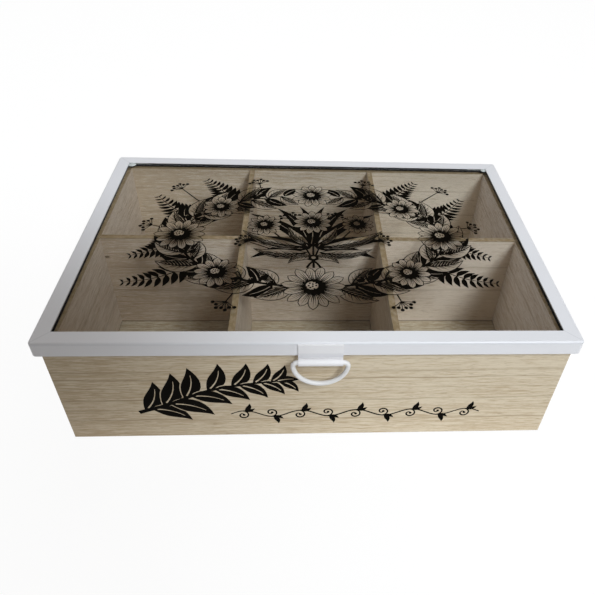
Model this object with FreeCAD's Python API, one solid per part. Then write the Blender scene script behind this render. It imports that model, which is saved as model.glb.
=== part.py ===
"""Six-compartment wooden tea box with a hinged metal-framed glass lid and a D-ring pull.

Frame: millimetres, +Z up, +X to the right, the front of the box faces -Y. The origin is the
centre of the box's footprint, on the plane that the box stands on. The box and the lid are
symmetric about the planes x = 0 and y = 0 except for the hinges, the pull and the glue.
"""
import FreeCAD, Part
import os
from math import acos, cos, radians, sin, sqrt

os.makedirs("parts", exist_ok=True)
V = FreeCAD.Vector

# ---- driving sizes (mm, degrees) -----------------------------------------------------------
# whole object
lid_length = 240.0            # X, over the metal skirt
lid_depth = 165.0             # Y, over the metal skirt
lid_top = 68.0                # Z of the flange's upper face

# wooden box
wall_thickness = 6.0
bottom_thickness = 5.0
divider_thickness = 3.0
centre_bay = 71.0             # clear length of the two middle compartments
corner_lap = 3.0              # front and back walls lap the ends of the side walls
bottom_rebate = 3.0           # the bottom board is let this far into each wall
dado_depth = 2.0              # grooves that hold the dividers' ends
wood_round = 0.8              # eased outer edges of the walls

# lid frame, one folded sheet strip
sheet = 0.6
flange_width = 7.4
skirt_height = 7.5
skirt_gap = 1.95              # air between the skirt and the wood
corner_inner_radius = 1.4
fold_inner_radius = 0.4
relief_length = 1.5           # slit at each corner where fold meets fold
relief_height = 0.3

# glass and its glue
glass_thickness = 2.0
glue_line = 0.2
rim_gap = 0.3                 # closed lid: air between the glass and the box's rim
glass_edge_gap = 0.9          # edge of the glass to the inside of the skirt
glue_pad_length = 12.0
glue_pad_width = 3.0
glue_dab_radius = {-1: 2.4, 1: 1.8}    # squeezed-out dab in each rear corner, left and right
glue_dab_height = 0.7

# pull: strap and D-ring
pull_offset = 2.4             # the pull sits a little right of the middle
strap_sheet = 0.5
ring_wire = 2.2
ring_width = 26.6             # over the wire
ring_corner_radius = 2.2
ring_belly = 0.95             # height of the ring's curved part as a share of its half width
ring_side_share = 0.65        # radius of the ring's sides as a share of its half width
strap_end_gap = 0.1           # end of the strap's roll to the start of the ring's corner
pull_below_skirt = 1.15       # top of the strap's roll to the skirt's lower edge

# hinges
hinge_spacing = 140.0
hinge_length = 24.0
centre_knuckle = 10.4
knuckle_gap = 0.3
leaf_sheet = 0.8
box_leaf_height = 11.0
lid_open_angle = 105.0        # the lip on the box leaf stops the lid here
stop_lip_length = 4.6
stop_lip_width = 8.0
hinge_below_skirt = 0.3
pin_stickout = 0.2
edge_inset = 0.2              # leaf's top to the start of the skirt's fold
fixing_spacing = 16.0
screw_shank_radius = 0.9
screw_head_radius = 1.7
screw_head_height = 0.9
screw_length = 4.8
pilot_extra = 0.3             # pilot hole beyond the screw's end
recess_length = 2.2           # cross recess in the screw's head
recess_width = 0.4
recess_depth = 0.5
rivet_shank_radius = 0.8
rivet_head_radius = 1.5
rivet_head_height = 0.7
rivet_tail_radius = 1.3
rivet_tail_height = 0.5

# fits
wood_fit = 0.05               # each side of a divider in its groove, board in its rebate
end_fit = 0.1                 # end of a divider to the bottom of its groove
pin_clearance = 0.05          # radial, hinge pin in its knuckles
ring_clearance = 0.08         # radial, ring wire in the strap's roll
hole_clearance = 0.02         # radial, rivets and screws in their holes
seam_gap = 0.1                # rolled edge to its own leaf
stop_gap = 0.1                # open lid's leaf to the stop lip

# ---- derived sizes ---------------------------------------------------------------------------
overhang = sheet + skirt_gap
half_x = lid_length / 2 - overhang                    # outside of the wooden box
half_y = lid_depth / 2 - overhang
inner_x = half_x - wall_thickness
inner_y = half_y - wall_thickness
flange_under = lid_top - sheet
glass_top = flange_under - glue_line
glass_bottom = glass_top - glass_thickness
rim = glass_bottom - rim_gap                          # top of the walls and dividers
skirt_bottom = lid_top - skirt_height
fold_radius = fold_inner_radius + sheet
window_x = lid_length / 2 - flange_width
window_y = lid_depth / 2 - flange_width
divider_x = centre_bay / 2 + divider_thickness / 2

hinge_roll = (overhang + leaf_sheet) / 2              # spans wood face to lid leaf's face
hinge_bore = hinge_roll - leaf_sheet
pin_radius = hinge_bore - pin_clearance
hinge_y = half_y + hinge_roll
hinge_z = skirt_bottom - hinge_roll - hinge_below_skirt
lid_leaf_top = lid_top - fold_radius - edge_inset
rivet_z = (skirt_bottom + lid_leaf_top) / 2
screw_z = hinge_z - (box_leaf_height + hinge_roll) / 2

ring_radius = ring_wire / 2
strap_bore = ring_radius + ring_clearance
strap_roll = strap_bore + strap_sheet
pull_y = -lid_depth / 2 - strap_roll
pull_z = skirt_bottom - pull_below_skirt - strap_roll
half_ring = ring_width / 2 - ring_radius              # to the wire's centre
bar_half = half_ring - ring_corner_radius
strap_half = bar_half - strap_end_gap


# ---- helpers ---------------------------------------------------------------------------------
def box(x0, x1, y0, y1, z0, z1):
    return Part.makeBox(x1 - x0, y1 - y0, z1 - z0, V(x0, y0, z0))


def rod_x(radius, x0, x1, y, z):
    return Part.makeCylinder(radius, x1 - x0, V(x0, y, z), V(1, 0, 0))


def rod_y(radius, y0, y1, x, z):
    return Part.makeCylinder(radius, y1 - y0, V(x, y0, z), V(0, 1, 0))


def prism_x(points, x0, x1):
    """Solid from a polygon of (y, z) points, extruded along X."""
    loop = [V(x0, y, z) for y, z in points]
    return Part.Face(Part.makePolygon(loop + loop[:1])).extrude(V(x1 - x0, 0, 0))


def edges_where(shape, test):
    return [e for e in shape.Edges if test(e.BoundBox)]


def vertical(bb):
    return bb.ZLength > 1 and bb.XLength < 1e-6 and bb.YLength < 1e-6


def folded_block(half_length, half_depth, z0, z1, corner_radius, fold):
    """Block with rounded vertical corners and a rounded top edge."""
    block = box(-half_length, half_length, -half_depth, half_depth, z0, z1)
    block = block.makeFillet(corner_radius, edges_where(block, vertical))
    return block.makeFillet(fold, edges_where(block, lambda bb: bb.ZMin > z1 - 1e-6))


def rolled_sheet(y, z, bore, thickness, side_y, side_z, length, x0, x1):
    """Sheet that rolls round the axis (y, z) and leaves it, tangent, as a flat leaf.

    side_y is the side of the axis that the leaf lies on, side_z the way it runs from there.
    """
    roll = bore + thickness
    end = acos((bore - seam_gap) / roll)

    def at(radius, angle):
        return V(x0, y + side_y * radius * cos(angle), z + side_z * radius * sin(angle))

    def leaf_point(radius):
        return V(x0, y + side_y * radius, z + side_z * length)

    middle = (end - radians(360)) / 2
    outline = [
        Part.LineSegment(leaf_point(roll), at(roll, 0)),
        Part.Arc(at(roll, 0), at(roll, middle), at(roll, end)),
        Part.LineSegment(at(roll, end), at(bore, end)),
        Part.Arc(at(bore, end), at(bore, middle), at(bore, 0)),
        Part.LineSegment(at(bore, 0), leaf_point(bore)),
        Part.LineSegment(leaf_point(bore), leaf_point(roll)),
    ]
    face = Part.Face(Part.Wire([segment.toShape() for segment in outline]))
    return face.extrude(V(x1 - x0, 0, 0))


def dome(radius, height, x, y, z, direction):
    """Low dome, its flat side at (x, y, z), bulging along direction (+1 or -1) in Y."""
    ball = (radius ** 2 + height ** 2) / (2 * height)
    centre = y - direction * (ball - height)
    ball_solid = Part.makeSphere(ball, V(x, centre, z))
    reach = box(x - radius, x + radius, min(y, y + direction * height),
                max(y, y + direction * height), z - radius, z + radius)
    return ball_solid.common(reach)


# ---- wooden box ------------------------------------------------------------------------------
board_x = inner_x + bottom_rebate
board_y = inner_y + bottom_rebate
board_room = box(-board_x, board_x, -board_y, board_y, 0, bottom_thickness)
side_half = half_y - corner_lap                       # half length of a side wall
dado_half = divider_thickness / 2 + wood_fit


def front_or_back(side):
    """Long wall, with a rebate at each end for the side walls and two dadoes."""
    face, inside = side * half_y, side * inner_y
    wall = box(-half_x, half_x, min(face, inside), max(face, inside), 0, rim)
    rounded = edges_where(wall, lambda bb: abs(bb.Center.y - face) < 1e-6 and (
        vertical(bb) or (bb.ZMax < 1e-6)))
    wall = wall.makeFillet(wood_round, rounded)
    for end in (-1, 1):
        x0, x1 = sorted((end * inner_x, end * (half_x + 1)))
        wall = wall.cut(box(x0, x1, -side_half, side_half, -1, rim + 1))
    for x in (-divider_x, divider_x):
        y0, y1 = sorted((side * (inner_y - 1), side * (inner_y + dado_depth)))
        wall = wall.cut(box(x - dado_half, x + dado_half, y0, y1, bottom_thickness, rim + 1))
    return wall.cut(board_room)


def side_wall(side):
    """Short wall between the long ones, with one dado for the long divider."""
    face, inside = side * half_x, side * inner_x
    wall = box(min(face, inside), max(face, inside), -side_half, side_half, 0, rim)
    wall = wall.makeFillet(wood_round, edges_where(
        wall, lambda bb: abs(bb.Center.x - face) < 1e-6 and bb.ZMax < 1e-6))
    x0, x1 = sorted((side * (inner_x - 1), side * (inner_x + dado_depth)))
    wall = wall.cut(box(x0, x1, -dado_half, dado_half, bottom_thickness, rim + 1))
    return wall.cut(board_room)


bottom_board = box(-board_x + wood_fit, board_x - wood_fit, -board_y + wood_fit,
                   board_y - wood_fit, 0, bottom_thickness)

# egg-crate dividers: the long one is slotted from above, the cross ones from below
half_divider = divider_thickness / 2
slot_half = half_divider + wood_fit
slot_level = (bottom_thickness + rim) / 2
reach_x = inner_x + dado_depth - end_fit
reach_y = inner_y + dado_depth - end_fit
long_divider = box(-reach_x, reach_x, -half_divider, half_divider, bottom_thickness, rim)
for x in (-divider_x, divider_x):
    long_divider = long_divider.cut(
        box(x - slot_half, x + slot_half, -half_divider - 1, half_divider + 1, slot_level, rim + 1))


def cross_divider(x):
    board = box(x - half_divider, x + half_divider, -reach_y, reach_y, bottom_thickness, rim)
    return board.cut(box(x - half_divider - 1, x + half_divider + 1, -slot_half, slot_half,
                         bottom_thickness - 1, slot_level))


# ---- lid frame, glass and glue -----------------------------------------------------------------
outside = folded_block(lid_length / 2, lid_depth / 2, skirt_bottom, lid_top,
                       corner_inner_radius + sheet, fold_radius)
hollow = folded_block(lid_length / 2 - sheet, lid_depth / 2 - sheet, skirt_bottom - 1,
                      flange_under, corner_inner_radius, fold_inner_radius)
window = box(-window_x, window_x, -window_y, window_y, flange_under - 1, lid_top + 1)
lid_frame = outside.cut(hollow).cut(window)
corner_x = lid_length / 2 - (corner_inner_radius + sheet) * (1 - sqrt(0.5))
corner_y = lid_depth / 2 - (corner_inner_radius + sheet) * (1 - sqrt(0.5))
for sx in (-1, 1):
    for sy in (-1, 1):
        slit = box(-2 * sheet, 2 * sheet, -relief_length / 2, relief_length / 2,
                   lid_top - fold_radius - relief_height / 2,
                   lid_top - fold_radius + relief_height / 2)
        slit.rotate(V(0, 0, 0), V(0, 0, 1), 45 * sx * sy)
        slit.translate(V(sx * corner_x, sy * corner_y, 0))
        lid_frame = lid_frame.cut(slit)

glass_x = lid_length / 2 - sheet - glass_edge_gap
glass_y = lid_depth / 2 - sheet - glass_edge_gap
glass_pane = box(-glass_x, glass_x, -glass_y, glass_y, glass_bottom, glass_top)

pads = []
for sx in (-1, 1):
    for sy in (-1, 1):
        x0, x1 = sorted((sx * window_x, sx * (window_x - glue_pad_length)))
        y0, y1 = sorted((sy * window_y, sy * (window_y + glue_pad_width)))
        pad = box(x0, x1, y0, y1, glass_top, flange_under)
        if sy > 0:
            # the dab is a cap of a ball, cut off by the flange's edges
            dab = glue_dab_radius[sx]
            ball = (dab ** 2 + glue_dab_height ** 2) / (2 * glue_dab_height)
            dab_x = sx * (window_x - 0.75 * dab)
            dab_y = window_y - 0.4 * dab
            cap = Part.makeSphere(ball, V(dab_x, dab_y, glass_top + glue_dab_height - ball))
            cap = cap.common(box(-window_x, window_x, -window_y, window_y, glass_top, lid_top))
            pad = pad.fuse(cap)
        pads.append(pad)
glass_glue = Part.makeCompound(pads)

# ---- pull ----------------------------------------------------------------------------------------
handle_strap = rolled_sheet(pull_y, pull_z, strap_bore, strap_sheet, 1, 1,
                            lid_top - fold_radius + edge_inset - pull_z,
                            pull_offset - strap_half, pull_offset + strap_half)

# D-ring in the plane y = pull_y: bar, two corners, two side arcs and a bottom arc, all tangent
side_z = pull_z - ring_corner_radius                  # where corners meet the side arcs
belly = ring_belly * half_ring
ring_side_radius = ring_side_share * half_ring
bottom_radius = ((half_ring - ring_side_radius) ** 2 + belly ** 2 - ring_side_radius ** 2) / (
    2 * (belly - ring_side_radius))
side_centre_x = half_ring - ring_side_radius
bottom_centre_z = side_z - belly + bottom_radius
side_angle = acos(side_centre_x / (bottom_radius - ring_side_radius))


def wire_arc(x, z, radius, start, end):
    """Round wire bent about (x, z) in the ring's plane, angles in radians from +X towards +Z."""
    centre = V(pull_offset + x, pull_y, z)
    at_start = centre + V(radius * cos(start), 0, radius * sin(start))
    section = Part.Face(Part.Wire(Part.makeCircle(
        ring_radius, at_start, V(-sin(start), 0, cos(start)))))
    return section.revolve(centre, V(0, -1, 0), (end - start) * 180 / radians(180))


pieces = [rod_x(ring_radius, pull_offset - bar_half, pull_offset + bar_half, pull_y, pull_z)]
quarter = radians(90)
pieces.append(wire_arc(bar_half, side_z, ring_corner_radius, 0, quarter))
pieces.append(wire_arc(-bar_half, side_z, ring_corner_radius, quarter, 2 * quarter))
pieces.append(wire_arc(side_centre_x, side_z, ring_side_radius, -side_angle, 0))
pieces.append(wire_arc(-side_centre_x, side_z, ring_side_radius, 2 * quarter, 2 * quarter + side_angle))
pieces.append(wire_arc(0, bottom_centre_z, bottom_radius, 2 * quarter + side_angle, 4 * quarter - side_angle))
handle_ring = pieces[0].multiFuse(pieces[1:]).removeSplitter()

# ---- hinges --------------------------------------------------------------------------------------
knuckle_half = centre_knuckle / 2
leaf_half = hinge_length / 2
# unit vectors of the lid leaf's outer face when the lid stands fully open, in (y, z)
stop = radians(lid_open_angle)
face_normal = (cos(stop), -sin(stop))
face_along = (sin(stop), cos(stop))


def box_leaf(x):
    """Leaf screwed to the back wall: two outer knuckles and a stop lip bent out between them."""
    top = hinge_z - hinge_roll - hinge_below_skirt
    leaf = box(x - leaf_half, x + leaf_half, half_y, half_y + leaf_sheet,
               hinge_z - box_leaf_height, top)
    for side in (-1, 1):
        x0, x1 = sorted((x + side * (knuckle_half + knuckle_gap), x + side * leaf_half))
        leaf = leaf.fuse(rolled_sheet(hinge_y, hinge_z, hinge_bore, leaf_sheet, -1, -1,
                                      hinge_z - top + leaf_sheet, x0, x1))
    level = hinge_roll + stop_gap                     # lip's upper face to the axis
    start_y = -hinge_roll
    start_z = (face_normal[0] * start_y - level) / -face_normal[1]
    lip = []
    for along, deep in ((0, 0), (stop_lip_length, 0), (stop_lip_length, leaf_sheet),
                        (0, leaf_sheet)):
        lip.append((hinge_y + start_y + face_along[0] * along + face_normal[0] * deep,
                    hinge_z + start_z + face_along[1] * along + face_normal[1] * deep))
    lip_solid = prism_x(lip, x - stop_lip_width / 2, x + stop_lip_width / 2)
    clear_of_wood = box(x - leaf_half, x + leaf_half, half_y, half_y + 2 * stop_lip_length,
                        0, lid_top)
    leaf = leaf.fuse(lip_solid.common(clear_of_wood))
    for dx in (-fixing_spacing / 2, fixing_spacing / 2):
        leaf = leaf.cut(rod_y(screw_shank_radius + hole_clearance, half_y - 1,
                              half_y + leaf_sheet + 1, x + dx, screw_z))
    return leaf.removeSplitter()


def lid_leaf(x):
    """Leaf riveted to the rear skirt, with the centre knuckle."""
    outer = lid_depth / 2
    leaf = box(x - leaf_half, x + leaf_half, outer, outer + leaf_sheet, skirt_bottom, lid_leaf_top)
    leaf = leaf.fuse(rolled_sheet(hinge_y, hinge_z, hinge_bore, leaf_sheet, 1, 1,
                                  skirt_bottom - hinge_z + leaf_sheet,
                                  x - knuckle_half, x + knuckle_half))
    for dx in (-fixing_spacing / 2, fixing_spacing / 2):
        leaf = leaf.cut(rod_y(rivet_shank_radius + hole_clearance, outer - 1,
                              outer + leaf_sheet + 1, x + dx, rivet_z))
    return leaf.removeSplitter()


def screw(x):
    """Small round-head wood screw with a cross recess, driven in from the back."""
    seat = half_y + leaf_sheet
    body = rod_y(screw_shank_radius, seat - screw_length, seat, x, screw_z)
    head = dome(screw_head_radius, screw_head_height, x, seat, screw_z, 1)
    body = body.fuse(head)
    tip = seat + screw_head_height
    for across, tall in ((recess_length, recess_width), (recess_width, recess_length)):
        body = body.cut(box(x - across / 2, x + across / 2, tip - recess_depth, tip + recess_depth,
                            screw_z - tall / 2, screw_z + tall / 2))
    return body


def rivet(x):
    """Rivet through the lid leaf and the skirt, formed over on the inside."""
    outer = lid_depth / 2 + leaf_sheet
    inner = lid_depth / 2 - sheet
    body = rod_y(rivet_shank_radius, inner - rivet_tail_height / 2, outer + rivet_head_height / 2,
                 x, rivet_z)
    head = dome(rivet_head_radius, rivet_head_height, x, outer, rivet_z, 1)
    tail = dome(rivet_tail_radius, rivet_tail_height, x, inner, rivet_z, -1)
    return body.multiFuse([head, tail])


hinge_x = {"left": -hinge_spacing / 2, "right": hinge_spacing / 2}
fixing_x = [x + dx for x in hinge_x.values() for dx in (-fixing_spacing / 2, fixing_spacing / 2)]
back_wall = front_or_back(1)
for x in fixing_x:
    back_wall = back_wall.cut(rod_y(screw_shank_radius + hole_clearance,
                                    half_y + leaf_sheet - screw_length - pilot_extra,
                                    half_y + 1, x, screw_z))
    lid_frame = lid_frame.cut(rod_y(rivet_shank_radius + hole_clearance, lid_depth / 2 - sheet - 1,
                                    lid_depth / 2 + 1, x, rivet_z))

# ---- export --------------------------------------------------------------------------------------
nodes = {
    "front_wall": front_or_back(-1),
    "back_wall": back_wall,
    "left_wall": side_wall(-1),
    "right_wall": side_wall(1),
    "bottom_board": bottom_board,
    "long_divider": long_divider,
    "cross_divider_left": cross_divider(-divider_x),
    "cross_divider_right": cross_divider(divider_x),
    "lid_frame": lid_frame,
    "glass_pane": glass_pane,
    "glass_glue": glass_glue,
    "handle_strap": handle_strap,
    "handle_ring": handle_ring,
    "hinge_screws": Part.makeCompound([screw(x) for x in fixing_x]),
    "hinge_rivets": Part.makeCompound([rivet(x) for x in fixing_x]),
}
for side, x in hinge_x.items():
    nodes["hinge_box_leaf_" + side] = box_leaf(x)
    nodes["hinge_lid_leaf_" + side] = lid_leaf(x)
    nodes["hinge_pin_" + side] = rod_x(pin_radius, x - leaf_half - pin_stickout,
                                       x + leaf_half + pin_stickout, hinge_y, hinge_z)

for name, shape in nodes.items():
    for solid in shape.Solids:
        if not solid.isValid() or solid.Volume <= 0:
            raise ValueError(name + " is not a valid solid")
    shape.exportStep("parts/" + name + ".step")
    print(name, len(shape.Solids), round(sum(s.Volume for s in shape.Solids), 2))
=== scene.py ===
"""Looks of a tea box: pale wood, a white metal lid frame, and a glass pane with a printed garland.

Metres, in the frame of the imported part: x along the front, y to the back, z up.
"""
import math
import random

import bmesh
import bpy
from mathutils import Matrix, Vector, geometry


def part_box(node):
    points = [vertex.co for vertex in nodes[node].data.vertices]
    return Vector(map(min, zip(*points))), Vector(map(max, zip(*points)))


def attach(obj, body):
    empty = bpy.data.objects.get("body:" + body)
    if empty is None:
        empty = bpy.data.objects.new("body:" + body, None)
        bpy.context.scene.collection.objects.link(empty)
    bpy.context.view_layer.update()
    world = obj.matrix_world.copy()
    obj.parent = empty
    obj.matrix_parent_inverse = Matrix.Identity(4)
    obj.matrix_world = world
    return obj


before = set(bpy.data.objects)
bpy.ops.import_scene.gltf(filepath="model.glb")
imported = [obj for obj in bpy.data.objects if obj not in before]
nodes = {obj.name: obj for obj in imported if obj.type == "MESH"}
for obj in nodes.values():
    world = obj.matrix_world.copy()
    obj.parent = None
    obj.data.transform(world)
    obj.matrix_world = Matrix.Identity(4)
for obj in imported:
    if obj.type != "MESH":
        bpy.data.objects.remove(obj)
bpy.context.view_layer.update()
scene = bpy.context.scene
MM = 0.001
# The window in the lid's flange, as half its width and half its depth.
FLANGE = 7.4 * MM
window = [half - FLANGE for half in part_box("lid_frame")[1][:2]]


# ---------------------------------------------------------------- shader helpers

def add(tree, kind, inputs=None, **settings):
    """A shader node; an input is a value or the socket that feeds it."""
    made = tree.nodes.new("ShaderNode" + kind)
    for key, value in settings.items():
        setattr(made, key, value)
    for key, value in (inputs or {}).items():
        if isinstance(value, bpy.types.NodeSocket):
            tree.links.new(value, made.inputs[key])
        else:
            made.inputs[key].default_value = value
    return made


def maths(tree, operation, *values, clamp=False):
    return add(tree, "Math", dict(enumerate(values)),
               operation=operation, use_clamp=clamp).outputs[0]


def plus(tree, a, b, clamp=False):
    return maths(tree, "ADD", a, b, clamp=clamp)


def minus(tree, a, b, clamp=False):
    return maths(tree, "SUBTRACT", a, b, clamp=clamp)


def times(tree, a, b):
    return maths(tree, "MULTIPLY", a, b)


def below(tree, a, b):
    return maths(tree, "LESS_THAN", a, b)


def apart(tree, a, b):
    """How far one value is from another, either way."""
    return maths(tree, "ABSOLUTE", minus(tree, a, b))


def near(tree, distance, reach):
    """One where a distance is nought, fading out at its reach."""
    return minus(tree, 1.0, maths(tree, "DIVIDE", distance, reach), clamp=True)


def spread(tree, value, low, high, **inputs):
    """A value from 0 to 1 laid out between two others."""
    sockets = {"Value": value, "To Min": low, "To Max": high}
    sockets.update((key.replace("_", " "), limit) for key, limit in inputs.items())
    return add(tree, "MapRange", sockets).outputs[0]


def ramp(tree, factor, *stops):
    """A grey ramp through (position, level) stops."""
    made = add(tree, "ValToRGB", {"Fac": factor})
    elements = made.color_ramp.elements
    while len(elements) < len(stops):
        elements.new(0.5)
    for element, (position, level) in zip(elements, stops):
        element.position = position
        element.color = (level, level, level, 1.0)
    return made.outputs["Color"]


def blend(tree, factor, a, b, mode="MIX"):
    """Colour b over colour a by a factor."""
    made = add(tree, "Mix", {0: factor}, data_type="RGBA", blend_type=mode)
    for index, value in ((6, a), (7, b)):
        if isinstance(value, bpy.types.NodeSocket):
            tree.links.new(value, made.inputs[index])
        else:
            made.inputs[index].default_value = (*value, 1.0)
    return made.outputs[2]


def toned(colour, share):
    return tuple(share * c for c in colour)


def scaled(tree, x, y=None, z=None, shift=(0.0, 0.0, 0.0)):
    """The piece's own coordinates in metres, scaled along each axis, or evenly by x alone."""
    coordinate = add(tree, "TexCoord").outputs["Object"]
    return add(tree, "Mapping", {
        "Vector": coordinate, "Location": shift,
        "Scale": (x, x if y is None else y, x if z is None else z)}).outputs["Vector"]


def place_in(tree):
    """The piece's own coordinates in metres, one by one."""
    return add(tree, "SeparateXYZ", {0: add(tree, "TexCoord").outputs["Object"]}).outputs


def noise(tree, vector, detail, roughness=0.5, distortion=0.0):
    return add(tree, "TexNoise", {
        "Vector": vector, "Scale": 1.0, "Detail": detail,
        "Roughness": roughness, "Distortion": distortion}).outputs["Fac"]


def new_material(name, **sockets):
    """A material with its Principled shader's plain sockets set."""
    made = bpy.data.materials.new(name)
    made.use_nodes = True
    tree = made.node_tree
    shader = tree.nodes["Principled BSDF"]
    for key, value in sockets.items():
        shader.inputs[key.replace("_", " ")].default_value = value
    return made, tree, shader


def surface(tree, shader, colour, rough):
    tree.links.new(colour, shader.inputs["Base Color"])
    tree.links.new(rough, shader.inputs["Roughness"])


def bump(tree, shader, height, strength, distance):
    made = add(tree, "Bump", {"Height": height, "Strength": strength, "Distance": distance})
    tree.links.new(made.outputs["Normal"], shader.inputs["Normal"])


# ---------------------------------------------------------------- materials

WOOD_PALE = (0.618, 0.524, 0.388)
WOOD_DEEP = (0.455, 0.352, 0.230)
WOOD_LINE = (0.280, 0.205, 0.120)
WOOD_DARK = toned(WOOD_LINE, 0.45)
WOOD_EDGE = (0.246, 0.173, 0.087)
# The height of the walls' and dividers' sawn top edges.
BOARD_TOP = 0.0649
# Half the width and half the depth of the space within the walls, and a little of the walls.
INSIDE = (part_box("right_wall")[0].x + 0.5 * MM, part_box("back_wall")[0].y + 0.5 * MM)


def growth_lines_and_shade(tree, colour, height, broken, streaks):
    """Darker lines over a colour, each as (height, half width, strength) in millimetres: growth
    lines, or a broad band of painted shade.
    """
    for level, width, strength in streaks:
        line = near(tree, apart(tree, height, level * MM), width * MM)
        seen = times(tree, line, ramp(tree, broken, (0.32, 0.20), (0.52, 1.0)))
        colour = blend(tree, times(tree, seen, strength), colour, WOOD_LINE)
    return colour


def with_knot(tree, colour, place, knot):
    """A small dark knot, as (X, height, half length, half height) in millimetres."""
    off = [maths(tree, "DIVIDE", minus(tree, place[axis], middle * MM), half * MM)
           for axis, middle, half in zip("XZ", knot[:2], knot[2:])]
    off = plus(tree, *(times(tree, side, side) for side in off))
    return blend(tree, ramp(tree, off, (0.3, 0.8), (1.0, 0.0)), colour, WOOD_DARK)


def wood(name, along, seed, shade=None, contrast=1.0, fine=1.0, lean=0.0, sawn_top=True,
         streaks=(), knot=None):
    """Pale straight-grained board. along is the axis of its grain.

    fine draws the grain out longer and thinner. lean darkens the board towards one end, painted
    shade for light that falls off across it.
    shade tints its faces inside the box, painted light that lightens and cools them for the light
    in there, and lean then keeps to these.
    """
    made, tree, shader = new_material(name, Specular_IOR_Level=0.25)

    def stretched(long_scale, cross_scale):
        factors = [cross_scale] * 3
        factors[along] = long_scale
        return scaled(tree, *factors, shift=(seed * 3.7, seed * 1.9, seed * 5.3))

    def swing(factor, share):
        """A noise's departure from its middle, weighed."""
        return times(tree, minus(tree, factor, 0.5), share * contrast)

    drift = noise(tree, stretched(5.0, 22.0), 2.0)
    bands = noise(tree, stretched(5.0, 200.0), 4.0, 0.6, 0.35)
    drawn = fine ** 2
    lines = noise(tree, stretched(48.0 / drawn, 1000.0 * fine), 3.0, 0.6, 0.2 / drawn)
    fibre = noise(tree, stretched(170.0 / drawn, 2100.0), 3.0, 0.65, 0.2 / drawn)
    pores = noise(tree, stretched(190.0, 1500.0), 2.0)
    dashes = ramp(tree, pores, (0.0, 1.0), (0.30, 1.0), (0.40, 0.0))

    tone = plus(tree, swing(drift, 0.8), swing(bands, 1.5))
    tone = plus(tree, tone, swing(lines, 3.0))
    tone = plus(tree, tone, swing(fibre, 5.5))
    place = place_in(tree)
    # Painted shade: the board darkens towards one end, for light that falls off across it.
    painted_falloff = times(tree, place["XYZ"[along]], lean)
    if shade:
        inner = times(tree, *(below(tree, maths(tree, "ABSOLUTE", place[axis]), limit)
                              for axis, limit in zip("XY", INSIDE)))
        painted_falloff = times(tree, painted_falloff, inner)
    tone = plus(tree, minus(tree, tone, painted_falloff), 0.38, clamp=True)
    colour = blend(tree, tone, WOOD_PALE, WOOD_DEEP)
    # Painted light: the faces inside the box are lightened and cooled for the light in there.
    if shade:
        colour = blend(tree, inner, colour, shade, mode="MULTIPLY")
    colour = blend(tree, times(tree, dashes, 0.45 * contrast), colour, WOOD_LINE)

    if streaks:
        wander = noise(tree, stretched(14.0, 30.0), 3.0, 0.65)
        broken = noise(tree, stretched(24.0, 160.0), 3.0)
        height = plus(tree, place["Z"], maths(tree, "MULTIPLY_ADD", wander, 6.0 * MM, -3.0 * MM))
        colour = growth_lines_and_shade(tree, colour, height, broken, streaks)
    if knot:
        colour = with_knot(tree, colour, place, knot)

    # A dark line at a board's foot inside the box is painted shadow where it meets the floor. Its
    # sawn top edge is tanner and worn.
    if sawn_top and shade:
        foot = ramp(tree, times(tree, place["Z"], 100.0), (0.0, 0.6), (0.56, 0.6), (0.60, 0.0))
        colour = blend(tree, times(tree, foot, inner), colour, WOOD_DARK)
    if sawn_top:
        top = ramp(tree, times(tree, place["Z"], 1.0 / BOARD_TOP),
                   (0.0, 0.0), (0.992, 0.0), (0.999, 1.0))
        worn = ramp(tree, noise(tree, scaled(tree, 420.0), 2.0), (0.3, 0.75), (0.6, 1.0))
        colour = blend(tree, times(tree, top, worn), colour, WOOD_EDGE)

    surface(tree, shader, colour, spread(tree, fibre, 0.58, 0.80))
    bump(tree, shader, minus(tree, fibre, times(tree, dashes, 0.5)), 0.35, 0.12 * MM)
    return made


COAT_DARK, COAT_LIGHT = (0.965, 0.957, 0.985), (1.02, 1.012, 1.040)
CREASE_SHADE_REACH = 3.0 * MM
SEAM_REACH = 0.3 * MM
# The flange's cut edge beside the pane is painted near black as shade, but for the top of it.
CUT_OFF, CUT_TOP = 0.05 * MM, 67.7 * MM


def shaded_crease(tree, colour, place, crease):
    """Painted shade in a crease: a dark line at a height, fading upwards."""
    off = maths(tree, "DIVIDE", minus(tree, place["Z"], crease), CREASE_SHADE_REACH)
    above = ramp(tree, off, (0.0, 0.0), (0.01, 1.0), (0.18, 0.48), (0.70, 0.36), (1.0, 0.0))
    return blend(tree, times(tree, above, 0.55), colour, (0.36, 0.37, 0.42))


def frame_coat(tree, colour, place, level):
    """A skirt made whiter than the top as painted light, a fine seam across each corner of the top,
    and painted shade on the cut edge at the pane.
    """
    # Painted light: the skirt is made whiter than the top.
    skirt = ramp(tree, times(tree, place["Z"], 10.0), (0.664, 1.0), (0.672, 0.0))
    colour = blend(tree, skirt, colour, toned((1.10, 1.08, 1.10), level))
    beyond = [minus(tree, maths(tree, "ABSOLUTE", place[axis]), edge)
              for axis, edge in zip("XY", window)]
    seam = near(tree, apart(tree, *beyond), SEAM_REACH)
    seam = times(tree, seam, maths(tree, "GREATER_THAN", beyond[0], 0.0))
    colour = blend(tree, times(tree, seam, 0.45), colour, (0.30, 0.30, 0.32))
    # Painted shade: the cut edge beside the pane, but for its top, goes near black.
    cut = below(tree, apart(tree, place["Y"], window[1]), CUT_OFF)
    cut = times(tree, cut, below(tree, beyond[0], 0.0))
    cut = times(tree, cut, below(tree, place["Z"], CUT_TOP))
    return blend(tree, times(tree, cut, 0.9), colour, (0.01, 0.008, 0.006))


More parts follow.
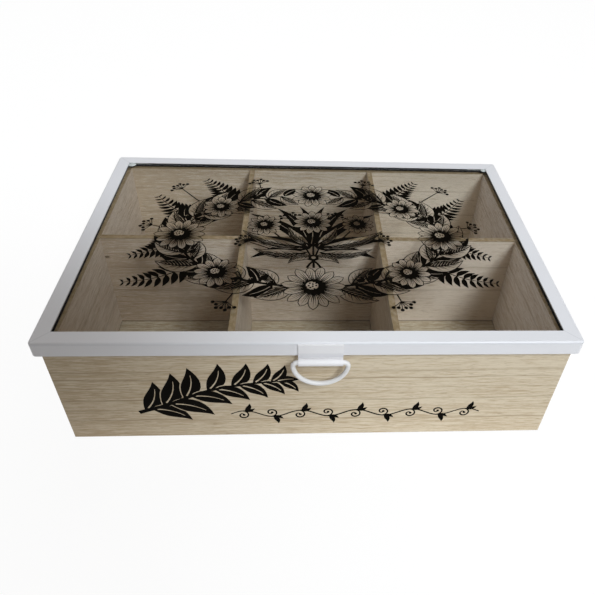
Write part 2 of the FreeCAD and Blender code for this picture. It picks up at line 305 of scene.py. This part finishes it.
def white_coat(name, level, tint=(1.0, 1.0, 1.0), mitred=False, crease=None):
    """Satin powder coat on thin sheet: on the mitred frame, or on a strap with painted shade in its
    crease at a height.
    """
    made, tree, shader = new_material(
        name, Specular_IOR_Level=0.35, Coat_Weight=0.04, Coat_Roughness=0.25)
    peel = noise(tree, scaled(tree, 620.0), 2.0)
    cloud = noise(tree, scaled(tree, 26.0), 3.0)
    colour = blend(tree, cloud, *(tuple(level * c * k for c, k in zip(shade, tint))
                                  for shade in (COAT_DARK, COAT_LIGHT)))
    place = place_in(tree)
    # Painted shade along the strap's crease.
    if crease:
        colour = shaded_crease(tree, colour, place, crease)
    if mitred:
        colour = frame_coat(tree, colour, place, level)
    surface(tree, shader, colour, spread(tree, cloud, 0.32, 0.44))
    bump(tree, shader, peel, 0.12, 0.08 * MM)
    return made


def zinc(name, shade):
    """Bright zinc-plated steel with a fine brushed look."""
    made, tree, shader = new_material(name, Metallic=1.0)
    brushed = noise(tree, scaled(tree, 400.0, 2600.0, 2600.0), 3.0)
    cloud = noise(tree, scaled(tree, 220.0), 2.0)
    surface(tree, shader, blend(tree, cloud, toned(shade, 0.86), shade),
            spread(tree, brushed, 0.24, 0.46))
    bump(tree, shader, brushed, 0.10, 0.05 * MM)
    return made


def glass():
    """Thin clear pane: what lies behind shows through, and a little of the room is mirrored."""
    made, tree, shader = new_material("clear_glass")
    tree.nodes.remove(shader)
    smear = noise(tree, scaled(tree, 22.0, 9.0, 30.0), 4.0, 0.6)
    clear = add(tree, "BsdfTransparent", {"Color": (0.972, 0.977, 0.980, 1.0)})
    mirror = add(tree, "BsdfGlossy", {
        "Color": (1.0, 1.0, 1.0, 1.0), "Roughness": spread(tree, smear, 0.015, 0.09)})
    facing = add(tree, "LayerWeight", {"Blend": 0.5}).outputs["Facing"]
    grazing = maths(tree, "MULTIPLY_ADD", maths(tree, "POWER", facing, 4.5), 0.96, 0.04)
    pane = add(tree, "MixShader", {0: grazing, 1: clear.outputs[0], 2: mirror.outputs[0]})
    haze = add(tree, "BsdfDiffuse", {"Color": (0.55, 0.56, 0.56, 1.0)})
    veil = spread(tree, smear, 0.001, 0.009)
    mixed = add(tree, "MixShader", {0: veil, 1: pane.outputs[0], 2: haze.outputs[0]})
    tree.links.new(mixed.outputs[0], tree.nodes["Material Output"].inputs["Surface"])
    return made


def glue():
    """Dried clear glue, lumpy and whitish."""
    made, tree, shader = new_material(
        "clear_glue", Subsurface_Weight=0.3, Subsurface_Radius=(2.0 * MM,) * 3)
    lumps = noise(tree, scaled(tree, 900.0), 2.0)
    surface(tree, shader, blend(tree, lumps, (0.33, 0.35, 0.34), (0.50, 0.53, 0.52)),
            spread(tree, lumps, 0.18, 0.34))
    bump(tree, shader, lumps, 0.4, 0.2 * MM)
    return made


def dress(name, material):
    """Gives a CAD node its material."""
    slots = nodes[name].data.materials
    slots.clear()
    slots.append(material)


def inner_light_tint(level, green=1.01, blue=1.11):
    """Painted light: the inner boards made lighter and cooler than the outer face, for the light
    inside the box.
    """
    return (level, green * level, blue * level)


ALONG_X, ALONG_Y = 0, 1
# Each board's lean is painted shade towards one end, and its inner tint is painted light inside the
# box.
dress("front_wall", wood(
    "wood_front", ALONG_X, 1.0, fine=1.25, lean=2.2,
    streaks=((47.2, 1.3, 0.35), (42.2, 0.8, 0.68), (35.5, 0.5, 0.40),
             (27.6, 0.7, 0.66), (19.8, 0.5, 0.40), (13.2, 0.6, 0.70))))
# The back wall's broad top streak, 13 mm each way, is painted shade under the lid's rim; its other
# streaks are growth lines.
dress("back_wall", wood(
    "wood_back", ALONG_X, 2.3, inner_light_tint(1.25, 1.035, 1.13), 0.75, lean=6.6,
    streaks=((64.0, 13.0, 0.28), (51.0, 0.9, 0.45), (34.0, 0.8, 0.45), (18.0, 1.0, 0.35))))
dress("left_wall", wood(
    "wood_left", ALONG_Y, 3.1, inner_light_tint(1.18, 1.02, 1.15), 0.65, lean=1.5,
    streaks=((44.0, 0.9, 0.35), (22.0, 1.1, 0.35))))
dress("right_wall", wood(
    "wood_right", ALONG_Y, 4.7, inner_light_tint(1.41, 1.10, 1.41), 0.65,
    streaks=((50.0, 0.8, 0.35), (30.0, 1.0, 0.35), (12.0, 0.8, 0.35))))
dress("bottom_board", wood(
    "wood_floor", ALONG_X, 5.9, (0.99, 1.02, 1.03), 1.2, sawn_top=False))
dress("long_divider", wood(
    "wood_long", ALONG_X, 6.4, inner_light_tint(1.17, 1.015, 1.12), 0.70, lean=4.6,
    streaks=((46.0, 0.8, 0.40), (30.0, 1.2, 0.35)), knot=(-110.6, 52.5, 2.0, 0.9)))
for side, seed in (("left", 7.2), ("right", 8.8)):
    dress("cross_divider_" + side, wood("wood_cross_" + side, ALONG_Y, seed, inner_light_tint(1.06), 0.65))

strap_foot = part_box("handle_strap")[0].z
# The strap and ring carry lighter, warmer copies of the frame's coat: painted light for how they
# are lit.
dress("lid_frame", white_coat("powder_coat_frame", 0.645, mitred=True))
dress("handle_strap", white_coat(
    "powder_coat_strap", 0.74, tint=(1.02, 1.0, 0.975), crease=strap_foot + 3.6 * MM))
dress("handle_ring", white_coat("powder_coat_ring", 0.70, tint=(1.02, 1.0, 0.955)))
dress("glass_pane", glass())
dress("glass_glue", glue())
steel = zinc("zinc_steel", (0.66, 0.67, 0.68))
bright_steel = zinc("zinc_bright", (0.74, 0.74, 0.74))
for part_name in nodes:
    if part_name.startswith("hinge"):
        dress(part_name, steel if "leaf" in part_name else bright_steel)


# ---------------------------------------------------------------- printed designs

def smooth(points, steps=6):
    """A smooth path through a few points."""
    points = [Vector(p) for p in points]
    ends = [points[0] * 2 - points[1], *points, points[-1] * 2 - points[-2]]
    path = []
    for a, b, c, d in zip(ends, ends[1:], ends[2:], ends[3:]):
        for k in range(steps):
            t = k / steps
            path.append(0.5 * (2 * b + (c - a) * t + (2 * a - 5 * b + 4 * c - d) * t ** 2
                               + (3 * b - 3 * c + d - a) * t ** 3))
    return path + [points[-1]]


def polar(angle, radius, upward=None):
    """A step in a direction given in degrees, on a circle or, with upward, on an oval."""
    turn = math.radians(angle)
    return Vector((math.cos(turn) * radius, math.sin(turn) * (upward or radius)))


def heading_of(step):
    """The direction of a step in degrees."""
    return math.degrees(math.atan2(step.y, step.x))


def across_of(step):
    """A step as long as this one, turned a quarter to the left."""
    return Vector((-step.y, step.x))


def along_path(path, t):
    """The point at a share of a path's steps, and the step it lies on."""
    last = len(path) - 1
    i = min(int(t * last), last - 1)
    return path[i].lerp(path[i + 1], t * last - i), path[i + 1] - path[i]


def between(start, end):
    """A straight stroke's three points."""
    return [start, start.lerp(end, 0.5), end]


def ribbon(path, half_widths):
    """The outline of a strip along a path."""
    left, right = [], []
    for i, point in enumerate(path):
        along = (path[min(i + 1, len(path) - 1)] - path[max(i - 1, 0)]).normalized()
        across = across_of(along) * half_widths[i]
        left.append(point + across)
        right.append(point - across)
    return right + left[::-1]


# Half the width of a leaf at its ends, in millimetres.
POINT = 0.02


class Print:
    """Shapes painted one over another, each of ink or bare. Sizes are in millimetres."""

    def __init__(self):
        self.shapes = []

    def paint(self, outline, ink=True):
        """Adds a shape, with its outline turned to run anticlockwise."""
        turned = sum(a.x * b.y - b.x * a.y for a, b in zip(outline, outline[1:] + outline[:1]))
        self.shapes.append((outline if turned > 0 else outline[::-1], ink))

    def line(self, path, start, end, ink=True, swell=0.0):
        """A stroke that tapers from one width to another and may swell between."""
        last = len(path) - 1
        self.paint(ribbon(path, [
            0.5 * (start + (end - start) * i / last + swell * math.sin(math.pi * i / last))
            for i in range(last + 1)]), ink)

    def disc(self, centre, radius, ink=True, sides=18):
        self.paint([centre + polar(360 * k / sides, radius) for k in range(sides)], ink)

    def blade(self, base, tip, width, bend, widest=0.42, blunt=1.0, inset=0.0, steps=9):
        """The outline of a leaf or petal, its middle line and its half widths."""
        axis = tip - base
        across = across_of(axis) * bend
        power = math.log(0.5) / math.log(widest)
        first = inset / max(axis.length, 1e-6)
        spans = [first + (1 - 2 * first) * k / steps for k in range(steps + 1)]
        middle = [base + axis * t + across * 4 * t * (1 - t) for t in spans]
        swells = [math.sin(math.pi * min(max(t, 0.0), 1.0) ** power) ** blunt for t in spans]
        halves = [max(POINT, 0.5 * width * swell - inset) for swell in swells]
        halves[0] = halves[-1] = POINT
        return ribbon(middle, halves), middle, halves

    def leaf(self, base, tip, width, bend, shade):
        """A pointed leaf: one half light with inked veins, the other dark with bare ones."""
        base, tip = Vector(base), Vector(tip)
        shape, _, _ = self.blade(base, tip, width, bend)
        self.paint(shape)
        shape, middle, halves = self.blade(base, tip, width, bend, inset=0.5)
        self.paint(shape, ink=False)
        last = len(middle) - 1

        def at(t, side):
            i = min(int(t * last), last - 1)
            f = t * last - i
            point = middle[i].lerp(middle[i + 1], f)
            along = (middle[i + 1] - middle[i]).normalized()
            half = halves[i] + (halves[i + 1] - halves[i]) * f
            return point + across_of(along) * half * side

        fine = 0.026 * width + 0.18
        self.paint(middle[:-1] + [at(1 - k / last, shade * (0.97 - 0.12 * (k % 2)))
                                  for k in range(1, last)])
        for k in range(10):
            t = 0.12 + 0.72 * k / 9
            for foot, end, thick, thin, ink in (
                    (0.10 * shade, shade * 0.84, fine * 0.9, 0.06, False),
                    (0.0, -shade * (0.88 if k % 2 else 0.55), fine * 1.2, 0.05, True)):
                foot, end = at(t, foot), at(min(t + 0.15, 0.97), end)
                self.line([foot, foot.lerp(end, 0.55), end], thick, thin, ink=ink)
        self.line(middle, fine * 2.4, fine * 0.7)

    def solid_leaf(self, base, tip, width, bend=0.1, rib=0.5, halo=0.0):
        """A leaf of plain ink with its middle rib left bare, and a bare edge where halo is set."""
        base, tip = Vector(base), Vector(tip)
        if halo:
            self.paint(self.blade(base, tip, width, bend, inset=-halo)[0], ink=False)
        shape, middle, _ = self.blade(base, tip, width, bend)
        self.paint(shape)
        if rib:
            self.line(middle[1:-2], rib, rib * 0.35, ink=False)

    def petal(self, base, tip, width):
        """A blunt petal with three lines out from its foot."""
        for inset in (0.0, 0.45):
            shape, _, _ = self.blade(base, tip, width, 0.0, 0.62, 0.62, inset, steps=8)
            self.paint(shape, ink=not inset)
        axis = tip - base
        across = across_of(axis).normalized() * width
        for k in (-1, 0, 1):
            offset = k / 3
            reach = 0.66 - 0.35 * abs(offset)
            start = base + axis * 0.10 + across * offset * 0.25
            end = base + axis * (0.18 + reach) + across * offset * 0.62
            self.line(between(start, end), 0.75, 0.06)

    def daisy(self, centre, radius, petals, turn):
        """A flower seen from above, its heart set with seeds in a golden spiral."""
        centre, heart = Vector(centre), radius * 0.30
        for k in sorted(range(petals), key=lambda k: (k * 5) % petals):
            angle = turn + 360 * k / petals
            reach = radius * (1.0 if k % 2 else 0.94)
            self.petal(centre + polar(angle, heart * 0.55), centre + polar(angle, reach),
                       2 * math.pi * radius * 0.62 / petals * 1.25)
        self.disc(centre, heart)
        self.disc(centre + Vector((-0.06, 0.07)) * radius, heart * 0.62, ink=False)
        for k in range(1, 22):
            spot = centre + polar(137.5 * k, heart * 0.90 * math.sqrt(k / 22))
            self.disc(spot, radius * 0.028 + 0.10, sides=7)

    def umbel(self, base, tip, rays, reach):
        """A thin stalk that ends in a fan of small buds."""
        base, tip = Vector(base), Vector(tip)
        heading = heading_of(tip - base)
        heart = tip - polar(heading, reach)
        self.line([base, base.lerp(heart, 0.5) + polar(heading + 90, 0.8), heart], 1.0, 0.6)
        for k in range(rays):
            turn = heading + (k / (rays - 1) - 0.5) * 130
            bud = heart + polar(turn, reach * (0.8 if k % 2 else 1.0))
            self.line(between(heart, bud), 0.5, 0.4)
            self.disc(bud, 1.0, sides=10)

    def berry(self, centre, radius):
        """A dark berry with a bare glint."""
        self.disc(centre, radius, sides=16)
        self.disc(centre + Vector((-0.30, 0.32)) * radius, radius * 0.42, ink=False, sides=10)
        self.disc(centre + Vector((-0.18, 0.20)) * radius, radius * 0.40, sides=10)

    def fern(self, path, length, pairs):
        """A frond of plain leaflets that shorten towards its tip."""
        path = smooth(path)
        self.line(path, 0.9, 0.3)
        for k in range(pairs):
            t = 0.10 + 0.88 * k / (pairs - 1)
            point, step = along_path(path, t)
            reach = length * (1 - 0.78 * t) * min(1.0, 0.55 + 2.5 * t)
            for side in (1, -1):
                self.solid_leaf(point, point + polar(heading_of(step) + side * 58, reach),
                                reach * 0.36, bend=0.10 * side, rib=0)


def oval(angle):
    """A point on the wreath's ring."""
    return Vector((0.0, -2.0)) + polar(angle, 70.0, 42.0)


def lid_garland():
    """An oval wreath of leaves, ferns, daisies and berries round a small bunch of herbs."""
    art = Print()
    draw = random.Random(11)
    # Ferns and umbels sweep out past the leaves.
    for side in (1, -1):
        for start, middle, end in ((-35, (75, -37), (91, -41)), (-8, (79, -14), (92, -20)),
                                   (24, (77, 24), (88, 37)), (52, (53, 45), (63, 56))):
            art.fern([oval(start if side > 0 else 180 - start), (side * middle[0], middle[1]),
                      (side * end[0], end[1])], 12.5, 10)
        for start, tip in ((-60, (43, -60)), (8, (92, 9)), (38, (80, 50)), (68, (33, 58))):
            art.umbel(oval(start if side > 0 else 180 - start), (side * tip[0], tip[1]), 7, 6.0)
        art.line([oval(-90 + side * a) for a in range(4, 172, 6)], 1.5, 0.7)
    # Two rows of leaves along each branch, with plain dark ones behind.
    for side in (1, -1):
        for row, (reach, lean) in enumerate(((21.0, 34), (17.0, -40))):
            for k in range(11):
                for dark in (1, 0):
                    angle = -90 + side * (9 + 15.0 * k + row * 6 + dark * 7.5)
                    base = oval(angle)
                    heading = heading_of(oval(angle + side * 4) - base)
                    size = reach * draw.uniform(0.88, 1.08) * (0.86 if dark else 1.0)
                    size *= 0.75 if k > 9 else 1.0
                    tip = base + polar(heading - side * lean * draw.uniform(0.85, 1.2), size)
                    bend = -0.10 * side * (1 if row == 0 else -1)
                    if dark:
                        art.solid_leaf(base, tip, size * 0.44, bend=bend)
                    else:
                        art.leaf(base, tip, size * 0.48, bend, side if row == 0 else -side)
    for angle in (-112, -68, -18, 198, 22, 158, 64, 116):
        base = oval(angle)
        for offset, radius in (((-3.4, 2.6), 2.1), ((1.6, 4.4), 2.4), ((5.0, -0.4), 1.9)):
            spot = base + Vector(offset)
            art.line(between(base, spot), 0.5, 0.5)
            art.berry(spot, radius)
    for angle, radius, petals, turn in (
            (-90, 16.5, 15, 3), (-133, 12.0, 13, 10), (-47, 12.0, 13, 22), (178, 14.0, 14, 0),
            (2, 14.0, 14, 12), (137, 11.0, 12, 5), (43, 11.0, 12, 18), (90, 12.5, 13, 7)):
        art.daisy(oval(angle), radius, petals, turn)
    # The bunch in the middle.
    foot = Vector((0.0, -23.0))
    heads = (((-26.0, 9.0), 10.0, 4), ((25.0, 10.5), 9.6, 14), ((0.0, 12.0), 11.5, 9))
    for tip in ((-40, -4), (41, -2), (-14, 21), (14, 21)):
        art.umbel(foot, tip, 8, 6.5)
    for head, _, _ in heads:
        head = Vector(head)
        art.line(smooth([foot + Vector((-head.x * 0.14, -6.0)), foot,
                         foot.lerp(head, 0.5) + Vector((head.x * 0.10, 2.0)), head]), 1.3, 0.8)
    for side in (1, -1):
        for x, y, width in ((32, -21, 7.0), (39, -6, 8.0), (35, 20, 7.5),
                            (20, 26, 7.0), (7, 28, 6.5), (16, 4, 7.0)):
            art.solid_leaf((side * 2.0, -13.0), (side * x, y), width, bend=0.10 * side)
    for base, tip, width in (((3, -16), (31, -13), 8.5), ((4, -11), (38, 4), 8.5),
                             ((2, -9), (13, 8), 7.0)):
        for side in (1, -1):
            art.leaf((base[0] * side, base[1]), (tip[0] * side, tip[1]), width, -0.10 * side, -side)
    for head, radius, turn in heads:
        art.daisy(head, radius, 13, turn)
    for side in (1, -1):
        art.leaf((0, -20.5), (side * 13.0, -25.5), 5.6, side * 0.2, side)
    art.disc(foot + Vector((0, 2.6)), 2.6)
    art.disc(foot + Vector((0, 2.6)), 1.2, ink=False)
    return art


def front_sprig():
    """A bold sprig with a thin scrolling vine below it."""
    art = Print()
    stem = smooth([(-83.0, 19.0), (-68.0, 25.0), (-50.0, 34.0), (-32.0, 38.5), (-18.0, 40.5)], 10)
    for k in range(7):
        t = 0.05 + 0.91 * k / 6
        base, step = along_path(stem, t)
        heading = heading_of(step)
        size = 26.5 - 14.0 * t
        for side, turn, share in ((1, 52, 1.0), (-1, 46, 0.92)):
            reach = size * share * (0.84 if k == 0 else 1.0)
            root = base + polar(heading, 3.6 if side < 0 else 0.0)
            art.solid_leaf(root, root + polar(heading + side * turn, reach), reach * 0.42,
                           bend=-0.12 * side, rib=0.8, halo=0.55)
    art.line(stem, 2.4, 0.9)
    art.solid_leaf(stem[-1], stem[-1] + polar(6, 11.0), 4.8, bend=0.08, rib=0.6)
    # The vine: one long wave with a curl and a leaf at each turn.
    first, step, turns, level, swing = -40.0, 13.6, 9, 17.0, 2.3
    wave = [(first + step * k / 4, level + swing * math.sin(math.pi * k / 4))
            for k in range(4 * turns + 1)]
    art.line(smooth(wave, 3), 0.6, 0.6, swell=0.25)
    for k in range(turns):
        side = 1 if k % 2 == 0 else -1
        top = Vector((first + step * (k + 0.5), level + swing * side))
        heart = top + Vector((-1.0, -3.2 * side))
        curl = [heart + polar(side * (118 - 26 * n), 3.3 * (1 - n / 21)) for n in range(19)]
        art.line([top + Vector((-3.6, -0.6 * side)), *curl], 0.5, 0.35, swell=0.45)
        art.disc(curl[-1], 0.75, sides=10)
        for lean, reach in ((66, 6.0), (20, 5.2)):
            art.solid_leaf(top, top + polar(side * lean, reach), reach * 0.42,
                           bend=-0.14 * side, rib=0)
    return art


# The ink's lower face over the surface and its thickness, in millimetres.
INK_LIFT, INK_THICK = 0.005, 0.020
# The area under which a loop of ink is dropped, in square millimetres.
SLIVER = 0.001
# How near two points are taken as one, when shapes are cut by one another and when they are filled.
WELD, WELD_FILL = 1e-5, 1e-6


def inked(art):
    """The ink that stays visible once all shapes are painted, as points and triangles."""
    corners, outlines = [], []
    for outline, _ in art.shapes:
        outlines.append(list(range(len(corners), len(corners) + len(outline))))
        corners += outline
    points, _, pieces, _, _, owners = geometry.delaunay_2d_cdt(
        corners, [], outlines, 1, WELD, True)
    sides = set()
    for piece, owner in zip(pieces, owners):
        if owner and art.shapes[max(owner)][1]:
            sides.update(zip(piece, piece[1:] + piece[:1]))
    rims = {}
    for start, end in sides:
        if (end, start) not in sides:
            rims.setdefault(start, []).append(end)
    # Walk the rims of the ink into simple loops, then fill between them by the even-odd rule.
    loops = []
    while rims:
        path = [next(iter(rims))]
        while path:
            here = path[-1]
            if here not in rims:
                path.pop()
                continue
            step = rims[here].pop()
            if not rims[here]:
                del rims[here]
            if step in path:
                loops.append(path[path.index(step):])
                path = path[:path.index(step) + 1]
            else:
                path.append(step)
    # Slivers have no sure turn, so they go; each loop turns left and starts at its longest side.
    turned = []
    for loop in loops:
        area = sum(points[a].cross(points[b]) for a, b in zip(loop, loop[1:] + loop[:1])) / 2.0
        if abs(area) > SLIVER:
            loop = loop if area > 0.0 else loop[::-1]
            spans = [(points[b] - points[a]).length for a, b in zip(loop, loop[1:] + loop[:1])]
            first = spans.index(max(spans))
            turned.append(loop[first:] + loop[:first])
    kept = sorted({i for loop in turned for i in loop})
    fresh = {old: new for new, old in enumerate(kept)}
    points, _, pieces, _, _, owners = geometry.delaunay_2d_cdt(
        [points[i] for i in kept], [], [[fresh[i] for i in loop] for loop in turned],
        1, WELD_FILL, True)
    return points, [piece for piece, owner in zip(pieces, owners) if len(owner) % 2]


def slanted(point):
    """How far a point lies along a slant on which hardly two points are level."""
    return point.x + math.sqrt(2.0) * point.y + math.sqrt(3.0) * point.z


def finished(name, flat, body, material):
    """Turns a bmesh into an object that rides a body.

    Blender extrudes faces in no set order, so they are sorted to be the same each run.
    """
    flat.verts.sort(key=lambda vert: slanted(vert.co))
    flat.faces.sort(key=lambda face: slanted(face.calc_center_median()))
    bmesh.ops.recalc_face_normals(flat, faces=flat.faces[:])
    mesh = bpy.data.meshes.new(name)
    flat.to_mesh(mesh)
    flat.free()
    mesh.materials.append(material)
    made = bpy.data.objects.new(name, mesh)
    scene.collection.objects.link(made)
    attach(made, body)
    return made


def raised(flat, height):
    """Makes a bmesh's open faces a closed solid that stands this much higher."""
    for item in bmesh.ops.extrude_face_region(flat, geom=flat.faces[:])["geom"]:
        if isinstance(item, bmesh.types.BMVert):
            item.co.z += height


def printed(name, art, body, place, material):
    """The art's ink as one thin closed solid.

    place turns a drawn point and a height over the surface into metres.
    """
    points, triangles = inked(art)
    flat = bmesh.new()
    verts = [flat.verts.new((point.x, point.y, INK_LIFT)) for point in points]
    for triangle in triangles:
        flat.faces.new([verts[i] for i in triangle])
    bmesh.ops.delete(flat, geom=[v for v in flat.verts if not v.link_faces], context="VERTS")
    raised(flat, INK_THICK)
    for vert in flat.verts:
        vert.co = place(*vert.co)
    return finished(name, flat, body, material)


def black_ink(name, sheen):
    """Screen-printed black, a little uneven in its sheen."""
    made, tree, shader = new_material(name, Specular_IOR_Level=sheen)
    grain = noise(tree, scaled(tree, 900.0), 3.0)
    cloud = noise(tree, scaled(tree, 60.0), 2.0)
    surface(tree, shader, blend(tree, grain, (0.0010, 0.0007, 0.0003), (0.0030, 0.0022, 0.0012)),
            spread(tree, cloud, 0.50, 0.68))
    bump(tree, shader, grain, 0.2, 0.03 * MM)
    return made


glass_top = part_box("glass_pane")[1].z
front_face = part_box("front_wall")[0].y
lid_ink = black_ink("ink_glass", 0.05)
wall_ink = black_ink("ink_wood", 0.02)
printed("glass_print", lid_garland(), "lid",
        lambda x, y, h: (x * MM, y * MM, glass_top + h * MM), lid_ink)
printed("front_print", front_sprig(), "box",
        lambda x, z, h: (x * MM, front_face - h * MM, z * MM), wall_ink)


def corners_of(x, y):
    """A rectangle's corners, anticlockwise, from half its width and half its depth."""
    return (-x, -y), (x, -y), (x, y), (-x, y)


# How far the shade strip's lower face is under the pane, its thickness, and its step in from the
# rim.
SHADE_STRIP_LOW, SHADE_STRIP_THICK, SHADE_STRIP_INSET = 0.22 * MM, 0.20 * MM, 0.4 * MM


def shade_strip():
    """A thin black strip under the rim of the pane, painted shade for the deep dark under the
    flange.

    It draws the dark line inside the flange, finer to the rear.
    """
    made, tree, shader = new_material("black_shade_strip", Specular_IOR_Level=0.03)
    grain = noise(tree, scaled(tree, 700.0), 2.0)
    surface(tree, shader, blend(tree, grain, (0.0012, 0.0008, 0.0004), (0.004, 0.003, 0.002)),
            spread(tree, grain, 0.6, 0.8))
    pane_low, pane_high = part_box("glass_pane")
    near_x, near_y = window[0] + 0.25 * MM, window[1]
    far_x, far_y = window[0] + 0.9 * MM, window[1] + 0.8 * MM
    flat = bmesh.new()
    inner, outer = [[flat.verts.new((x, y, pane_low.z - SHADE_STRIP_LOW)) for x, y in ring] for ring in (
        ((-near_x, -near_y), (near_x, -near_y), (far_x, far_y), (-far_x, far_y)),
        corners_of(pane_high.x - SHADE_STRIP_INSET, pane_high.y - SHADE_STRIP_INSET))]
    for k in range(4):
        after = (k + 1) % 4
        flat.faces.new([inner[k], inner[after], outer[after], outer[k]])
    raised(flat, SHADE_STRIP_THICK)
    return finished("pane_shade_strip", flat, "lid", made)


# A black strip under the pane's rim, painted shade for the dark line under the flange.
shade_strip()


# ---------------------------------------------------------------- floor, light and camera

def stage_plane(name, corners, material):
    """A flat sheet of the stage, no part of the object."""
    mesh = bpy.data.meshes.new(name)
    mesh.from_pydata(corners, [], [tuple(range(len(corners)))])
    made = bpy.data.objects.new(name, mesh)
    mesh.materials.append(material)
    scene.collection.objects.link(made)
    return made


def white_floor():
    """A white floor, nearly full white to the camera, with a faint shadow of the object."""
    made, tree, shader = new_material("white_floor", Roughness=0.9)
    shader.inputs["Base Color"].default_value = (0.45, 0.45, 0.45, 1.0)
    rays = add(tree, "LightPath").outputs
    seen = maths(tree, "MAXIMUM", rays["Is Camera Ray"], maths(
        tree, "MAXIMUM", rays["Is Glossy Ray"], rays["Is Transmission Ray"]))
    glow = add(tree, "Emission", {"Color": (1.0, 1.0, 1.0, 1.0), "Strength": 1.09})
    mixed = add(tree, "MixShader", {
        0: times(tree, seen, 0.86), 1: shader.outputs[0], 2: glow.outputs[0]})
    tree.links.new(mixed.outputs[0], tree.nodes["Material Output"].inputs["Surface"])
    return made


# The floor lies a hair under the box's foot.
HALF_FLOOR, FLOOR_LEVEL = 3.0, -0.2 * MM
white = white_floor()
stage_plane("floor", [(x, y, FLOOR_LEVEL) for x, y in corners_of(HALF_FLOOR, HALF_FLOOR)], white)


def area_light(name, place, aim, size, power, colour=(1.0, 1.0, 1.0)):
    """A rectangular lamp turned towards a point. No view sees it."""
    data = bpy.data.lights.new(name, "AREA")
    data.shape = "RECTANGLE"
    data.size, data.size_y = size
    data.energy = power
    data.color = colour
    made = bpy.data.objects.new(name, data)
    made.location = place
    made.rotation_euler = (Vector(aim) - Vector(place)).to_track_quat("-Z", "Y").to_euler()
    made.visible_camera = False
    scene.collection.objects.link(made)
    return made


ROOM_LEVEL = 0.32
ROOM_TINT = (1.0, 0.965, 0.92)


def room():
    """An even white room. Mirrored in glass or metal, its far side is darker, as in a real room."""
    world = bpy.data.worlds.new("room")
    scene.world = world
    world.use_nodes = True
    tree = world.node_tree
    rays = add(tree, "LightPath").outputs
    direction = add(tree, "SeparateXYZ", {0: add(tree, "TexCoord").outputs["Generated"]}).outputs
    mirrored = spread(tree, direction["Y"], 0.75, 0.02, From_Min=-0.25, From_Max=0.55)
    level = add(tree, "Mix", {0: rays["Is Glossy Ray"], 2: ROOM_LEVEL, 3: mirrored},
                data_type="FLOAT")
    lit = tree.nodes["Background"]
    lit.inputs["Color"].default_value = (*ROOM_TINT, 1.0)
    tree.links.new(level.outputs[0], lit.inputs["Strength"])
    backdrop = add(tree, "Background", {"Color": (1.0, 1.0, 1.0, 1.0), "Strength": 1.0})
    mixed = add(tree, "MixShader", {
        0: rays["Is Camera Ray"], 1: lit.outputs[0], 2: backdrop.outputs[0]})
    tree.links.new(mixed.outputs[0], tree.nodes["World Output"].inputs["Surface"])


def flag(name, corners):
    """A dark card before a lamp. Its soft shadow falls on the front left; no view sees it."""
    made = stage_plane(name, corners, white)
    made.visible_camera = made.visible_diffuse = False
    made.visible_glossy = made.visible_transmission = False
    return made


DAYLIGHT = (0.87, 0.94, 1.0)
KEY = Vector((0.86, -1.39, 1.725))
BOX_MIDDLE = (0.0, 0.0, 0.04)
# Just before the front wall, where the floor throws light back up at it.
GLOW_X, GLOW_Y = 0.0, -0.0975
room()
area_light("key", KEY, BOX_MIDDLE, (0.68, 0.68), 50.0, DAYLIGHT)
area_light("front_fill", (0.25, -1.10, 0.45), BOX_MIDDLE, (0.8, 0.8), 0.6, DAYLIGHT)
floor_glow = area_light("floor_glow", (GLOW_X, GLOW_Y, 0.0005), (GLOW_X, GLOW_Y, 1.0),
                        (0.30, 0.035), 0.0165)
rear_top = area_light("rear_top", (0.0, 0.55, 0.90), (0.0, 0.0, 0.06), (0.6, 0.6), 3.0)
floor_glow.visible_glossy = rear_top.visible_glossy = False

# The edge of the key's shadow on the lid, from the front rim round to the left rim, is drawn up
# towards the key to the card's height.
LID_TOP, CARD_HEIGHT = 0.068, 0.265
edge = []
for x, y in ((0.080, -0.245), (-0.056, -0.080), (-0.062, -0.028),
             (-0.117, -0.002), (-0.300, 0.105)):
    spot = Vector((x, y, LID_TOP))
    edge.append(spot.lerp(KEY, (CARD_HEIGHT - spot.z) / (KEY.z - spot.z)))
flag("key_flag", [(-0.45, -0.55, CARD_HEIGHT), *edge])
# An upright card before the front fill.
FLAG_LEFT, FLAG_RIGHT, FLAG_Y, FLAG_TOP = -0.35, 0.015, -0.30, 0.40
flag("fill_flag", [(FLAG_LEFT, FLAG_Y, 0.0), (FLAG_RIGHT, FLAG_Y, 0.0),
                   (FLAG_RIGHT, FLAG_Y, FLAG_TOP), (FLAG_LEFT, FLAG_Y, FLAG_TOP)])

# From the front and above; the shifts set the box a little off the middle of the frame.
lens = bpy.data.cameras.new("camera")
lens.sensor_width = 36.0
lens.lens = 35.275
lens.shift_x, lens.shift_y = -0.07685, -0.00202
camera = bpy.data.objects.new("camera", lens)
camera.location = (-0.00632, -0.25921, 0.24664)
camera.rotation_euler = (0.861404, -0.048888, -0.053418)
scene.collection.objects.link(camera)
scene.camera = camera
scene.view_settings.view_transform = "Standard"
